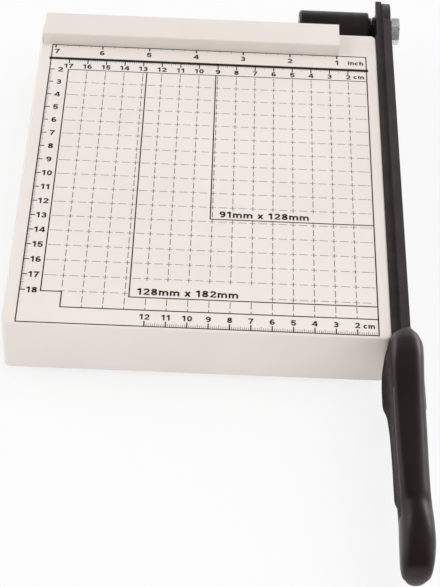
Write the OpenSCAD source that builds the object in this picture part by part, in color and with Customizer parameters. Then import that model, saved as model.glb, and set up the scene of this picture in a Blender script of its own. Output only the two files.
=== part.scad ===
// Desk paper cutter: a folded steel board with a paper stop, a fixed bed knife along its
// right edge, and a knife arm that swings on a sprung pivot behind the board.
// Pieces are drawn about the cutting corner: x = 0 is the plane in which the knives meet,
// y = 0 the zero line of the board's scale at the paper stop, z = 0 the board's top face.

/* [Board] */
// Width of the board between its left and right sides
board_w = 182.7; // [150:0.1:260]
// Length of the board in front of the scale's zero line
board_front = 201.9; // [170:0.1:320]
// Length of the board behind the scale's zero line
board_rear = 19.1; // [19:0.1:20.5]
// Height of the board's sides
side_h = 31.4; // [28:0.1:40]
// Thickness of the board's sheet steel
sheet_t = 0.8; // [0.6:0.1:0.9]
// Outer radius of the folds along the board's edges
fold_r = 1.1; // [1:0.1:2]
// Outer radius of the board's upright corners
corner_r = 3; // [2.6:0.2:6]
// Width of the rim turned in under the left and right sides
rim_side_w = 18; // [17:1:30]
// Width of the rim turned in under the front and the rear
rim_end_w = 9; // [6:1:12]

/* [Feet] */
// Diameter of a rubber foot
foot_d = 13; // [10:0.5:14]
// Height of a rubber foot under the rim
foot_h = 3; // [2:0.5:6]
// Diameter of a foot's neck, which is pushed through the rim
foot_neck_d = 5; // [4:0.5:7]
// Distance of the feet from the board's front and rear
foot_end_inset = 22; // [16:1:40]

/* [Paper stop] */
// Length of the paper stop
stop_l = 160; // [120:0.5:175]
// Depth of the paper stop, front to rear
stop_d = 18; // [15:0.2:18]
// Height of the paper stop above the board
stop_h = 7.3; // [6:0.1:14]
// Distance of the stop's face behind the scale's zero line
stop_set_back = 1; // [0.5:0.1:1.3]
// Distance of the stop's left end from the board's left side
stop_left_inset = 1.9; // [0.5:0.1:6]
// Thickness of the stop's sheet steel
stop_t = 0.8; // [0.6:0.1:1.2]
// Width of the foot turned in under the stop
stop_foot_w = 9; // [8:0.5:10]
// Distance of the stop's screws from its rear
stop_screw_inset = 5.4; // [5:0.1:5.8]
// Diameter of the screws under the stop
stop_screw_d = 3; // [2.5:0.5:3.5]
// Number of screws under the stop
stop_screws_n = 3; // [2:1:5]

/* [Bed knife] */
// Thickness of the bed knife
bed_t = 4; // [3:0.5:6]
// Height of the bed knife
bed_h = 22; // [18:0.5:26]
// Radius of the lug round the pivot's bore
lug_r = 9.2; // [8:0.2:10]
// Thickness of the lug
lug_t = 3.2; // [2.5:0.1:4]
// Length of the lug's horn behind the pivot
horn_l = 14.4; // [10:0.1:15]
// Height of the horn above the board
horn_top = 1.6; // [0.4:0.2:3]
// Diameter of the bed knife's screws
bed_screw_d = 4; // [3:0.5:5]
// Depth of the bed knife's screws below the board's top
bed_screw_drop = 13; // [10:0.5:14]
// Number of the bed knife's screws
bed_screws_n = 4; // [3:1:6]

/* [Pivot] */
// Distance of the pivot behind the scale's zero line
pivot_back = 34.5; // [33:0.5:45]
// Depth of the pivot below the board's top
pivot_drop = 9; // [8:0.5:11]
// Diameter of the pivot bolt
bolt_d = 8; // [6:0.5:8]
// Width across the flats of the bolt's head and of the lock nut
hex_af = 13; // [12:0.5:13]
// Height of the bolt's head
head_h = 4.4; // [4:0.1:6]
// Diameter of the pivot's washers
washer_d = 15; // [14:0.5:15]
// Thickness of the pivot's washers
washer_t = 1.6; // [1:0.1:2]
// Outer diameter of the spring cup
cup_d = 19.6; // [19.4:0.2:24]
// Length of the spring cup
cup_l = 38.4; // [34:0.2:60]
// Gap between the cup's mouth and the seat washer
cup_gap = 2.4; // [1:0.1:3]
// Thickness of the cup's inner wall, which the spring pushes
cup_web = 3; // [2:0.5:6]
// Height of the lock nut
lock_nut_h = 6.3; // [5:0.1:7]
// Wire diameter of the pivot spring
wire_d = 1.8; // [1.2:0.1:2]
// Diameter of the spring's coil at the middle of the wire
coil_d = 12.4; // [12:0.1:12.6]
// Number of the spring's turns
coil_turns = 7; // [5:1:8]

/* [Knife arm] */
// Thickness of the knife arm
arm_t = 4.1; // [3:0.1:5]
// Height of the arm's top above the board when it is closed
arm_top = 5; // [4:0.2:5.4]
// Radius of the round eye at the pivot
eye_r = 15.2; // [14.4:0.2:15.6]
// Depth of the cutting edge below the board at the front
edge_front_drop = 13; // [10:0.5:16]
// Depth of the cutting edge below the board at the heel
edge_heel_drop = 20; // [17:0.5:21]
// Height of the ground bevel
bevel_h = 8; // [5:0.5:12]
// Thickness left at the cutting edge
edge_land = 0.4; // [0.2:0.1:1]
// Length of the tang inside the handle
tang_l = 84; // [70:1:95]
// Height of the tang
tang_h = 10.5; // [8:0.5:11]

/* [Handle] */
// Length of the handle, nose to tip
handle_l = 128; // [120:0.5:160]
// Length by which the handle's nose lies over the board's front edge
nose_overlap = 2; // [2:0.5:4]
// Width of the finger guard
guard_w = 21; // [18:0.2:24]
// Width of the grip
grip_w = 14.9; // [13:0.1:18]
// Width of the rounded end
bulb_w = 15.4; // [14:0.1:20]
// Diameter of the handle's screws
grip_screw_d = 3.5; // [3:0.5:4]

/* [Hidden] */
$fn = 48;

// Clearances: slip between parts that turn, fit round fixed shanks, rest at the closed stop
slip = 0.1;
fit = 0.15;
run_fit = 0.05;
rest_gap = 0.3;
over = 1;

// Places across the cutter
board_right = -bed_t;
board_left = board_right - board_w;
arm_in = slip;
arm_out = arm_in + arm_t;
arm_mid = (arm_in + arm_out) / 2;
washer_out = arm_out + washer_t;
head_out = washer_out + head_h;
seat_in = -lug_t - slip;
seat_out = seat_in - washer_t;
cup_mouth = seat_out - cup_gap;
cup_end = cup_mouth - cup_l;

// Places along the cutter
pivot = [pivot_back, -pivot_drop];
nose_y = nose_overlap - board_front;
tip_y = nose_y - handle_l;
arm_end = -board_front - slip;

// Sizes of the pivot's pieces
thread_gap = run_fit;
nut_recess_r = hex_af / sqrt(3) + rest_gap;
nut_recess_h = lock_nut_h + 2 * slip;
web_out = cup_end + nut_recess_h;
web_in = web_out + cup_web;
spring_bore_r = coil_d / 2 + wire_d / 2 + 2 * rest_gap;
cup_chamfer = 1;

// Fasteners, as shares of their thread's diameter, and how far a thread stands out
head_per_thread = 1.9;
head_rise_share = 0.65;
head_top_share = 0.8;
nut_per_thread = 1.75;
nut_rise_share = 0.8;
washer_per_thread = 2.2;
flat_washer_t = 0.8;
thread_out = 1.2;

// Colours as seen on the cutter
cream = [0.92, 0.90, 0.86];
black_paint = [0.16, 0.15, 0.15];
black_grip = [0.12, 0.10, 0.10];
zinc = [0.78, 0.79, 0.80];
rubber_grey = [0.20, 0.20, 0.20];

// Extrudes a y-z outline from x0 to x1
module across(x0, x1) {
    translate([x0, 0, 0])
        rotate([90, 0, 90])
            linear_extrude(x1 - x0)
                children();
}

// Rod along x through a y-z point
module rod(x0, x1, at, d, sides = $fn) {
    translate([x0, at[0], at[1]])
        rotate([90, 0, 90])
            cylinder(h = x1 - x0, d = d, $fn = sides);
}

// Bore for the pivot bolt through a plate from x0 to x1
module pivot_bore(x0, x1) {
    rod(x0 - over, x1 + over, pivot, bolt_d + 2 * run_fit);
}

// Cone along x through a y-z point
module cone(x0, x1, at, d0, d1) {
    translate([x0, at[0], at[1]])
        rotate([90, 0, 90])
            cylinder(h = x1 - x0, d1 = d0, d2 = d1);
}

// Rectangle with round corners, its lower left corner at the origin
module round_rect(w, h, r) {
    translate([r, 0]) square([w - 2 * r, h]);
    translate([0, r]) square([w, h - 2 * r]);
    for (x = [r, w - r], y = [r, h - r])
        translate([x, y]) circle(r);
}

// Block with round upright corners and round top and bottom edges: two runs that cross, four
// quarter turns in their corners and a core that lies in all of them
module soft_block(w, d, h, corner, fold) {
    core_inset = corner / 2;
    translate([core_inset, core_inset, fold])
        cube([w - 2 * core_inset, d - 2 * core_inset, h - 2 * fold]);
    translate([corner, 0, 0])
        across(0, w - 2 * corner)
            round_rect(d, h, fold);
    translate([0, d - corner, 0])
        rotate([90, 0, 0])
            linear_extrude(d - 2 * corner)
                round_rect(w, h, fold);
    for (turn = [0 : 3])
        translate([turn % 3 == 0 ? w - corner : corner, turn < 2 ? d - corner : corner, 0])
            rotate(90 * turn)
                rotate_extrude(angle = 90)
                    intersection() {
                        translate([-corner, 0]) round_rect(2 * corner, h, fold);
                        square([corner, h]);
                    }
}

// Board

bed_screw_ys = [for (i = [0 : bed_screws_n - 1])
    -board_front * (i + 0.5) / bed_screws_n];
stop_left = board_left + stop_left_inset;
stop_screw_xs = [for (i = [0 : stop_screws_n - 1])
    stop_left + stop_l * (i + 0.5) / stop_screws_n];
stop_rear = stop_set_back + stop_d;
stop_screw_y = stop_rear - stop_screw_inset;
foot_xs = [board_left + rim_side_w / 2 + fold_r / 2, board_right - rim_side_w / 2 - fold_r / 2];
foot_ys = [foot_end_inset - board_front, board_rear - foot_end_inset];
window_r = 6;

module base_board() {
    board_d = board_front + board_rear;
    color(cream)
        place()
            difference() {
                translate([board_left, -board_front, -side_h])
                    difference() {
                        soft_block(board_w, board_d, side_h, corner_r, fold_r);
                        translate([sheet_t, sheet_t, sheet_t])
                            soft_block(board_w - 2 * sheet_t, board_d - 2 * sheet_t,
                                side_h - 2 * sheet_t, corner_r - sheet_t, fold_r - sheet_t);
                        translate([rim_side_w, rim_end_w, -over])
                            linear_extrude(sheet_t + 2 * over)
                                round_rect(board_w - 2 * rim_side_w, board_d - 2 * rim_end_w, window_r);
                    }
                for (x = stop_screw_xs)
                    translate([x, stop_screw_y, -sheet_t - over])
                        cylinder(h = sheet_t + 2 * over, d = stop_screw_d + 2 * fit);
                for (y = bed_screw_ys)
                    rod(board_right - sheet_t - over, board_right + over, [y, -bed_screw_drop],
                        bed_screw_d + 2 * fit);
                for (x = foot_xs, y = foot_ys)
                    translate([x, y, -side_h - over])
                        cylinder(h = sheet_t + 2 * over, d = foot_neck_d + 2 * slip);
            }
}

// Push-in foot: a tapered pad, a neck through the rim and a barb above it
module foot(x, y) {
    edge = foot_h / 4;
    barb_lip = 1;
    barb_h = 2.5;
    barb_z = foot_h + sheet_t + slip;
    color(rubber_grey)
        place()
            translate([x, y, -frame_z])
                rotate_extrude()
                    polygon([
                        [0, 0],
                        [foot_d / 2 - edge, 0],
                        [foot_d / 2, edge],
                        [foot_d / 2 - edge / 2, foot_h],
                        [foot_neck_d / 2, foot_h],
                        [foot_neck_d / 2, barb_z],
                        [foot_neck_d / 2 + barb_lip, barb_z],
                        [foot_neck_d / 3, barb_z + barb_h],
                        [0, barb_z + barb_h]
                    ]);
}

module foot_front_left() {
    foot(foot_xs[0], foot_ys[0]);
}

module foot_front_right() {
    foot(foot_xs[1], foot_ys[0]);
}

module foot_rear_left() {
    foot(foot_xs[0], foot_ys[1]);
}

module foot_rear_right() {
    foot(foot_xs[1], foot_ys[1]);
}

// Paper stop: a folded channel whose rear wall turns in to a foot on the board
module paper_stop() {
    fold_inside = 0.2;
    stop_fold_r = stop_t + fold_inside;
    color(cream)
        place()
            difference() {
                across(stop_left, stop_left + stop_l)
                    translate([stop_set_back, 0])
                        difference() {
                            union() {
                                round_rect(stop_d, stop_h, stop_fold_r);
                                square(stop_fold_r);
                            }
                            translate([stop_t, stop_t])
                                round_rect(stop_d - 2 * stop_t, stop_h - 2 * stop_t, fold_inside);
                            translate([stop_t, -over])
                                square([stop_d - stop_t - stop_foot_w, stop_t + over + stop_fold_r]);
                        }
                for (x = stop_screw_xs)
                    translate([x, stop_screw_y, -over])
                        cylinder(h = stop_t + 2 * over, d = stop_screw_d + 2 * run_fit);
            }
}

module stop_screws() {
    screw_head_h = head_rise_share * stop_screw_d;
    wide_d = head_per_thread * stop_screw_d;
    color(zinc)
        place()
            for (x = stop_screw_xs)
                translate([x, stop_screw_y, 0]) {
                    translate([0, 0, -sheet_t])
                        cylinder(h = sheet_t + stop_t + thread_out, d = stop_screw_d);
                    translate([0, 0, -sheet_t - screw_head_h])
                        cylinder(h = screw_head_h, d1 = head_top_share * wide_d, d2 = wide_d);
                }
}

// Bed knife

bed_sink = 0.3;
bed_head_d = 2 * bed_screw_d;
bed_head_h = (bed_head_d - bed_screw_d) / 2;

// Outline of the bed knife without its lug: a straight bar with a slanting horn behind the board
module bed_outline() {
    horn = pivot[0] + horn_l;
    polygon([
        [-board_front, -bed_h],
        [-board_front, 0],
        [stop_set_back, 0],
        [horn - horn_top, horn_top],
        [horn, 0],
        [pivot[0] + lug_r / 2, pivot[1] + lug_r / 2],
        [pivot[0], pivot[1] - lug_r + over],
        [board_rear - fold_r, -bed_h]
    ]);
}

module bed_knife() {
    color(black_paint)
        place()
            difference() {
                union() {
                    // Behind the board the bar is as thin as the lug
                    difference() {
                        across(-bed_t, 0) bed_outline();
                        translate([-bed_t - over, board_rear, -side_h])
                            cube([bed_t - lug_t + over, pivot_back + horn_l, 2 * side_h]);
                    }
                    rod(-lug_t, 0, pivot, 2 * lug_r);
                }
                pivot_bore(-bed_t, 0);
                for (y = bed_screw_ys) {
                    at = [y, -bed_screw_drop];
                    rod(-bed_t - over, over, at, bed_screw_d + 2 * fit);
                    cone(-bed_sink - bed_head_h, -bed_sink, at, bed_screw_d + 2 * fit, bed_head_d + 2 * fit);
                    rod(-bed_sink, over, at, bed_head_d + 2 * fit);
                }
            }
}

nut_h = nut_rise_share * bed_screw_d;
inside = board_right - sheet_t;
nut_in = inside - flat_washer_t;

module bed_knife_screws() {
    end_x = nut_in - nut_h - thread_out;
    color(zinc)
        place()
            for (y = bed_screw_ys) {
                at = [y, -bed_screw_drop];
                rod(end_x, -bed_sink - bed_head_h, at, bed_screw_d);
                cone(-bed_sink - bed_head_h, -bed_sink, at, bed_screw_d, bed_head_d);
            }
}

module bed_knife_washers() {
    color(zinc)
        place()
            for (y = bed_screw_ys) {
                at = [y, -bed_screw_drop];
                difference() {
                    rod(nut_in, inside, at, washer_per_thread * bed_screw_d);
                    rod(nut_in - over, inside + over, at, bed_screw_d + 2 * fit);
                }
            }
}

module bed_knife_nuts() {
    color(zinc)
        place()
            for (y = bed_screw_ys) {
                at = [y, -bed_screw_drop];
                difference() {
                    rod(nut_in - nut_h, nut_in, at, nut_per_thread * bed_screw_d * 2 / sqrt(3), 6);
                    rod(nut_in - nut_h - over, nut_in + over, at, bed_screw_d + 2 * thread_gap);
                }
            }
}

// Knife arm

tang_top = 1.5;
tang_bottom = tang_top - tang_h;
tang_tip = arm_end - tang_l;
heel = [board_rear, -edge_heel_drop];
edge_tip = [arm_end, -edge_front_drop];
edge_angle = atan2(edge_tip[1] - heel[1], heel[0] - edge_tip[0]);
// The bevel stops so far in front of the heel
bevel_stop = 8;
grip_screw_ys = [arm_end - tang_l / 4, arm_end - tang_l * 3 / 4];
grip_screw_z = (tang_top + tang_bottom) / 2;

module arm_outline() {
    polygon([
        [pivot[0], arm_top],
        [arm_end, arm_top],
        [arm_end, tang_top],
        [tang_tip, tang_top],
        [tang_tip, tang_bottom],
        [arm_end, tang_bottom],
        edge_tip,
        heel,
        [pivot[0], pivot[1] - eye_r + over]
    ]);
    translate(pivot) circle(eye_r);
}

// The ground face runs from the cutting edge up the arm's outer side
module bevel() {
    run = arm_t - edge_land;
    lift = bevel_h / run;
    edge_len = norm(heel - edge_tip);
    translate([arm_in, heel[0], heel[1]])
        rotate([-edge_angle, 0, 0])
            translate([0, -bevel_stop, 0])
                rotate([90, 0, 0])
                    linear_extrude(edge_len + tang_l)
                        polygon([
                            [edge_land - over / lift, -over],
                            [arm_t + over, -over],
                            [arm_t + over, bevel_h + over * lift]
                        ]);
}

module knife_arm() {
    color(black_paint)
        place()
            difference() {
                across(arm_in, arm_out) arm_outline();
                pivot_bore(arm_in, arm_out);
                intersection() {
                    bevel();
                    translate([-over, arm_end - over, -side_h])
                        cube([arm_out + 2 * over, board_front + board_rear, 2 * side_h]);
                }
                for (y = grip_screw_ys)
                    rod(arm_in - over, arm_out + over, [y, grip_screw_z], grip_screw_d + 2 * fit);
            }
}

// Handle: a loft through stations along its length

// Each station: share of the length from the nose, height of the top, height of the bottom,
// half width of the walls, half width of the lip below them, squareness of the lower corners,
// how far its middle lies to the right of the arm's, and squareness of the crown
handle_stations = [
    [0, 6.8, -2, 2.8, 2.8, 3, 0, 2.3],
    [0.013, 7.7, -5, 4.4, 5.2, 3, -0.2, 2.3],
    [0.032, 8.7, -11, 6.9, 8.6, 3.5, -0.5, 2.3],
    [0.074, 9.8, -16.5, grip_w / 2 + 0.9, guard_w / 2 - 0.9, 4, -0.5, 2.4],
    [0.125, 10, -18.5, grip_w / 2 + 0.7, guard_w / 2 - 0.2, 5, -0.4, 2.5],
    [0.188, 9.6, -19, grip_w / 2 + 0.4, guard_w / 2, 5, -0.4, 2.6],
    [0.246, 8.8, -18.5, grip_w / 2 + 0.2, guard_w / 2, 5, -0.4, 2.7],
    [0.285, 8.2, -17.5, grip_w / 2 + 0.1, guard_w / 2 - 1.1, 5, -0.3, 2.8],
    [0.316, 7.7, -16, grip_w / 2 + 0.1, grip_w / 2 + 1.5, 5, -0.25, 2.9],
    [0.426, 6.2, -14.5, grip_w / 2 + 0.1, grip_w / 2 + 0.8, 5, -0.2, 3],
    [0.551, 5, -14, grip_w / 2 - 0.1, grip_w / 2 + 0.6, 5, -0.1, 3],
    [0.685, 4.3, -14, grip_w / 2 - 0.3, grip_w / 2 + 0.7, 4.5, 0.1, 2.8],
    [0.712, 4, -14.1, grip_w / 2 - 0.3, grip_w / 2 - 0.2, 4, 0.2, 2.4],
    [0.75, 4, -14.6, grip_w / 2 - 0.1, grip_w / 2 - 0.1, 3.2, 0.35, 2.1],
    [0.809, 4.9, -16.8, bulb_w / 2 - 0.1, bulb_w / 2 - 0.4, 2.6, 0.6, 2.2],
    [0.879, 5.6, -18.7, bulb_w / 2, bulb_w / 2 - 1.6, 2.3, 0.6, 2.5],
    [0.938, 4.1, -19, bulb_w / 2 - 0.3, bulb_w / 2 - 1.7, 2.3, 0.3, 2.4],
    [0.98, -0.5, -17.4, bulb_w / 2 - 1.2, bulb_w / 2 - 2.2, 2.3, 0.1, 2.3],
    [0.994, -4, -15.4, 5, 4.7, 2.3, 0, 2.3],
    [1, -7, -13, 2.6, 2.4, 2.3, 0, 2.3]
];
// Share of the height that the crown takes, and longest gap between two rings of the skin
shoulder = 0.38;
ring_gap = 3;
wall_levels = [-0.4, -0.68];
corner_angles = [225, 240, 255, 270, 285, 300, 315];

function signed_power(v, p) = sign(v) * pow(abs(v), p);
function rounded(a, squareness) =
    [signed_power(cos(a), 2 / squareness), signed_power(sin(a), 2 / squareness)];
function wall(level, squareness) = pow(1 - pow(abs(level), squareness), 1 / squareness);

// Unit section, side and height from -1 to 1: a round crown, two walls and a floor with round corners
function unit_section(squareness, crown) = concat(
    [for (a = [0 : 15 : 180]) rounded(a, crown)],
    [for (level = wall_levels) [-wall(level, squareness), level]],
    [for (a = corner_angles) rounded(a, squareness)],
    [for (level = [wall_levels[1], wall_levels[0]]) [wall(level, squareness), level]]
);

// How far the lip stands out at a height: nothing above the walls' foot, all of it below
function lip(level) =
    min(max((wall_levels[0] - level) / (wall_levels[0] - wall_levels[1]), 0), 1);

// Value of one column between two stations, by a curve that passes through them and never overshoots
last_station = len(handle_stations) - 1;
function rise(k, i) = (handle_stations[k + 1][i] - handle_stations[k][i])
    / (handle_stations[k + 1][0] - handle_stations[k][0]);
function even_slope(p, q) = p * q <= 0 ? 0 : 2 * p * q / (p + q);
function slope(k, i) = k == 0 ? rise(0, i)
    : k == last_station ? rise(k - 1, i)
    : even_slope(rise(k - 1, i), rise(k, i));
function curved(k, t, i) =
    let (a = handle_stations[k], b = handle_stations[k + 1], span = b[0] - a[0])
    (2 * pow(t, 3) - 3 * pow(t, 2) + 1) * a[i] + (3 * pow(t, 2) - 2 * pow(t, 3)) * b[i]
    + span * ((pow(t, 3) - 2 * pow(t, 2) + t) * slope(k, i) + (pow(t, 3) - pow(t, 2)) * slope(k + 1, i));
function station(k, t) =
    let (a = handle_stations[k], b = handle_stations[k + 1])
    [a[0] + t * (b[0] - a[0]), for (i = [1 : len(a) - 1]) curved(k, t, i)];

function handle_section(s) =
    let (level = s[1] - shoulder * (s[1] - s[2]))
    [for (p = unit_section(s[5], s[7]))
        [arm_mid + s[6] + p[0] * (s[3] + (s[4] - s[3]) * lip(p[1])),
            nose_y - s[0] * handle_l,
            level + p[1] * (p[1] > 0 ? s[1] - level : level - s[2])]];

// Closed skin through rings of equal point counts
module loft(rings) {
    n = len(rings[0]);
    last = len(rings) - 1;
    polyhedron(
        points = [for (ring = rings) each ring],
        faces = concat(
            [[for (k = [0 : n - 1]) k]],
            [for (i = [0 : last - 1], k = [0 : n - 1])
                let (a = i * n + k, b = i * n + (k + 1) % n)
                each [[a, a + n, b], [b, a + n, b + n]]],
            [[for (k = [n - 1 : -1 : 0]) last * n + k]]
        )
    );
}

// The shared frame has its origin under the middle of the whole cutter
handle_rings = [
    for (k = [0 : last_station - 1])
        let (steps = ceil((handle_stations[k + 1][0] - handle_stations[k][0]) * handle_l / ring_gap))
            for (j = [0 : steps - 1]) handle_section(station(k, j / steps)),
    handle_section(handle_stations[last_station])
];
handle_right = max([for (ring = handle_rings) for (p = ring) p[0]]);
frame_x = -(board_left + max(handle_right, head_out)) / 2;
frame_y = -(pivot_back + max(eye_r, horn_l) + tip_y) / 2;
frame_z = side_h + foot_h;

module place() {
    translate([frame_x, frame_y, frame_z]) children();
}

// Plastic between the arm and a screw's head, and depth of the screw's bite beyond the arm
grip_wall = 2;
grip_bite = 3.4;
screw_head_d = head_per_thread * grip_screw_d;
screw_head_in = arm_out + grip_wall;
screw_head_out = screw_head_in + head_rise_share * grip_screw_d;
screw_end = arm_in - grip_bite;

module handle() {
    front_face = -board_front - over;
    color(black_grip)
        place()
            difference() {
                loft(handle_rings);
                // Room over the board's front edge, where the nose comes to rest
                translate([-board_w, front_face, rest_gap - side_h])
                    cube([2 * board_w, board_front, side_h]);
                // Slot for the arm's end
                translate([arm_in - fit, arm_end - fit, -side_h])
                    cube([arm_t + 2 * fit, board_front, side_h + arm_top + fit]);
                // Pocket for the tang
                translate([arm_in - fit, tang_tip - fit, tang_bottom - fit])
                    cube([arm_t + 2 * fit, tang_l + 2 * fit, tang_h + 2 * fit]);
                for (y = grip_screw_ys) {
                    at = [y, grip_screw_z];
                    rod(screw_end - fit, screw_head_in + over, at, grip_screw_d + 2 * run_fit);
                    rod(screw_head_in, arm_mid + guard_w, at, screw_head_d + 2 * fit);
                }
            }
}

module handle_screws() {
    color(zinc)
        place()
            for (y = grip_screw_ys) {
                at = [y, grip_screw_z];
                rod(screw_end, screw_head_in, at, grip_screw_d);
                cone(screw_head_in, screw_head_out, at, screw_head_d, head_top_share * screw_head_d);
            }
}

// Pivot

// Hexagon with its outer corners turned off
module hexagon(x0, x1, at) {
    corner_d = hex_af * 2 / sqrt(3);
    turned = (corner_d - hex_af) / 2;
    intersection() {
        rod(x0, x1, at, corner_d, 6);
        cone(x0, x1, at, corner_d + 2 * (x1 - x0) * sqrt(3) - turned, corner_d - turned);
    }
}

module pivot_bolt() {
    color(zinc)
        place() {
            rod(cup_end + over, washer_out, pivot, bolt_d);
            hexagon(washer_out, head_out, pivot);
        }
}

module pivot_washer(x0, x1) {
    color(zinc)
        place()
            difference() {
                rod(x0, x1, pivot, washer_d);
                rod(x0 - over, x1 + over, pivot, bolt_d + 2 * fit);
            }
}

module head_washer() {
    pivot_washer(arm_out, washer_out);
}

module seat_washer() {
    pivot_washer(seat_out, seat_in);
}

module lock_nut() {
    color(zinc)
        place()
            difference() {
                mirror([1, 0, 0])
                    hexagon(-web_out, lock_nut_h - web_out, pivot);
                rod(cup_end - over, web_out + over, pivot, bolt_d + 2 * thread_gap);
            }
}

// Turned cup: spring bore from the mouth, a wall for the spring, a recess for the nut
module spring_cup() {
    cup_r = cup_d / 2;
    color(black_paint)
        place()
            translate([cup_end, pivot[0], pivot[1]])
                rotate([90, 0, 90])
                    rotate_extrude()
                        polygon([
                            [bolt_d / 2 + fit, nut_recess_h],
                            [nut_recess_r, nut_recess_h],
                            [nut_recess_r, 0],
                            [cup_r - cup_chamfer, 0],
                            [cup_r, cup_chamfer],
                            [cup_r, cup_l - cup_chamfer / 2],
                            [cup_r - cup_chamfer / 2, cup_l],
                            [spring_bore_r, cup_l],
                            [spring_bore_r, nut_recess_h + cup_web],
                            [bolt_d / 2 + fit, nut_recess_h + cup_web]
                        ]);
}

// Spring: one round wire wound from the seat washer to the cup's wall, its end turns close

coil_rings = 8;
wire_sides = 6;
close_gap = 0.6;
spring_from = seat_out - wire_d / 2 - run_fit;
spring_to = web_in + wire_d / 2 + run_fit;
close_pitch = wire_d + close_gap;
open_pitch = (spring_from - spring_to - 2 * close_pitch) / (coil_turns - 2);

// Distance along the axis after so many turns
function wound(t) = close_pitch * (min(t, 1) + max(t - coil_turns + 1, 0))
    + open_pitch * min(max(t - 1, 0), coil_turns - 2);

function wire_ring(t) = [for (k = [0 : wire_sides - 1])
    let (a = 360 * k / wire_sides, r = coil_d / 2 + cos(a) * wire_d / 2)
    [spring_from - wound(t) + sin(a) * wire_d / 2,
        pivot[0] + r * cos(360 * t),
        pivot[1] + r * sin(360 * t)]];

spring_rings = [for (i = [0 : coil_rings * coil_turns]) wire_ring(i / coil_rings)];
spring_gap = min([for (i = [0 : len(spring_rings) - coil_rings])
    for (j = [i + coil_rings - 2 : min(i + coil_rings + 2, len(spring_rings) - 1)])
        for (p = spring_rings[i], q = spring_rings[j]) norm(p - q)]);

module pivot_spring() {
    echo(spring_gap_to_itself = spring_gap);
    color(zinc)
        place()
            loft(spring_rings);
}

base_board();
paper_stop();
stop_screws();
bed_knife();
bed_knife_screws();
bed_knife_washers();
bed_knife_nuts();
foot_front_left();
foot_front_right();
foot_rear_left();
foot_rear_right();
knife_arm();
handle();
handle_screws();
pivot_bolt();
head_washer();
seat_washer();
pivot_spring();
spring_cup();
lock_nut();
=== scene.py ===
# Looks of the desk paper cutter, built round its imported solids.
import math

import bmesh
import bpy
from mathutils import Matrix, Vector


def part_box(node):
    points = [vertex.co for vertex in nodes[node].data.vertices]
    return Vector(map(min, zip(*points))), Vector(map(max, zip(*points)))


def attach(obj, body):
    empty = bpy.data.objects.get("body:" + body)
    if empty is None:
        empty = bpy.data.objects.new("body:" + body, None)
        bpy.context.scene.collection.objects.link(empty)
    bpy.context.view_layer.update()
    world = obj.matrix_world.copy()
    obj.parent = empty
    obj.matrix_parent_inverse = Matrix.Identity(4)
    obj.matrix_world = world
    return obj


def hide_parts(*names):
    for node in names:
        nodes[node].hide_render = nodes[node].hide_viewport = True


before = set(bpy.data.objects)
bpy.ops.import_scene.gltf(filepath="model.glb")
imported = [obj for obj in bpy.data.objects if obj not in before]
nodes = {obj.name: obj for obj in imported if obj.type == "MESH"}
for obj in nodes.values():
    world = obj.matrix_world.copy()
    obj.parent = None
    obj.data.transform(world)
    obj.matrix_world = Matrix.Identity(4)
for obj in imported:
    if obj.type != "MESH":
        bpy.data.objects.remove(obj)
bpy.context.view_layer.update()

scene = bpy.context.scene

# Places, from the solids: the cutting corner is where the knives' plane, the scale's zero line and the
# board's top face meet. Unless a comment says otherwise, sizes and places are in millimetres from it.
MM = 0.001
BOARD_FRONT = 201.9
board_low, board_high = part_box("base_board")
CORNER = Vector((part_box("bed_knife")[1].x, board_low.y + BOARD_FRONT * MM, board_high.z))


def spot(x, y, z=0.0):
    """A point given in millimetres from the cutting corner."""
    return CORNER + Vector((x, y, z)) * MM


def local(point):
    """A point of the frame as millimetres from the cutting corner."""
    return (Vector(point) - CORNER) / MM


def node_box(node):
    """A solid's lowest and highest corners, in millimetres from the cutting corner."""
    low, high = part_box(node)
    return local(low), local(high)


# Meshes

BOX_FACES = [(0, 2, 3, 1), (4, 5, 7, 6), (0, 1, 5, 4), (2, 6, 7, 3), (0, 4, 6, 2), (1, 3, 7, 5)]


def new_object(name, mesh):
    """An object at the origin that shows a mesh."""
    obj = bpy.data.objects.new(name, mesh)
    scene.collection.objects.link(obj)
    return obj


def new_mesh(name, points, faces, material):
    """A mesh object from points in the frame."""
    mesh = bpy.data.meshes.new(name)
    mesh.from_pydata([tuple(p) for p in points], [], faces)
    mesh.materials.append(material)
    return new_object(name, mesh)


def box_parts(low, high, start=0):
    """Corner points and faces of a box between two points; start is the first corner's number."""
    (x0, y0, z0), (x1, y1, z1) = low, high
    points = [Vector((x, y, z)) for z in (z0, z1) for y in (y0, y1) for x in (x0, x1)]
    return points, [tuple(start + k for k in face) for face in BOX_FACES]


def settle(obj, name):
    """The object with its modifiers applied, as a new plain mesh object; the old one goes."""
    bpy.context.view_layer.update()
    done = bpy.data.meshes.new_from_object(obj.evaluated_get(bpy.context.evaluated_depsgraph_get()))
    bpy.data.objects.remove(obj)
    done.name = name
    return new_object(name, done)


def cut(obj, name, cutters):
    """The object with the cutters taken out of it."""
    for cutter in cutters:
        step = obj.modifiers.new("cut", "BOOLEAN")
        step.operation = "DIFFERENCE"
        step.solver = "EXACT"
        step.object = cutter
    made = settle(obj, name)
    for cutter in cutters:
        bpy.data.objects.remove(cutter)
    return made


def join(name, pieces, material):
    """Several mesh objects as one."""
    mesh = bpy.data.meshes.new(name)
    whole = bmesh.new()
    for piece in pieces:
        whole.from_mesh(piece.data)
        bpy.data.objects.remove(piece)
    whole.to_mesh(mesh)
    whole.free()
    mesh.materials.append(material)
    return new_object(name, mesh)


def soften(obj, degrees):
    """Smooth shading, with edges sharper than an angle kept."""
    obj.data.shade_smooth()
    obj.data.set_sharp_from_angle(angle=math.radians(degrees))
    return obj


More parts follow.
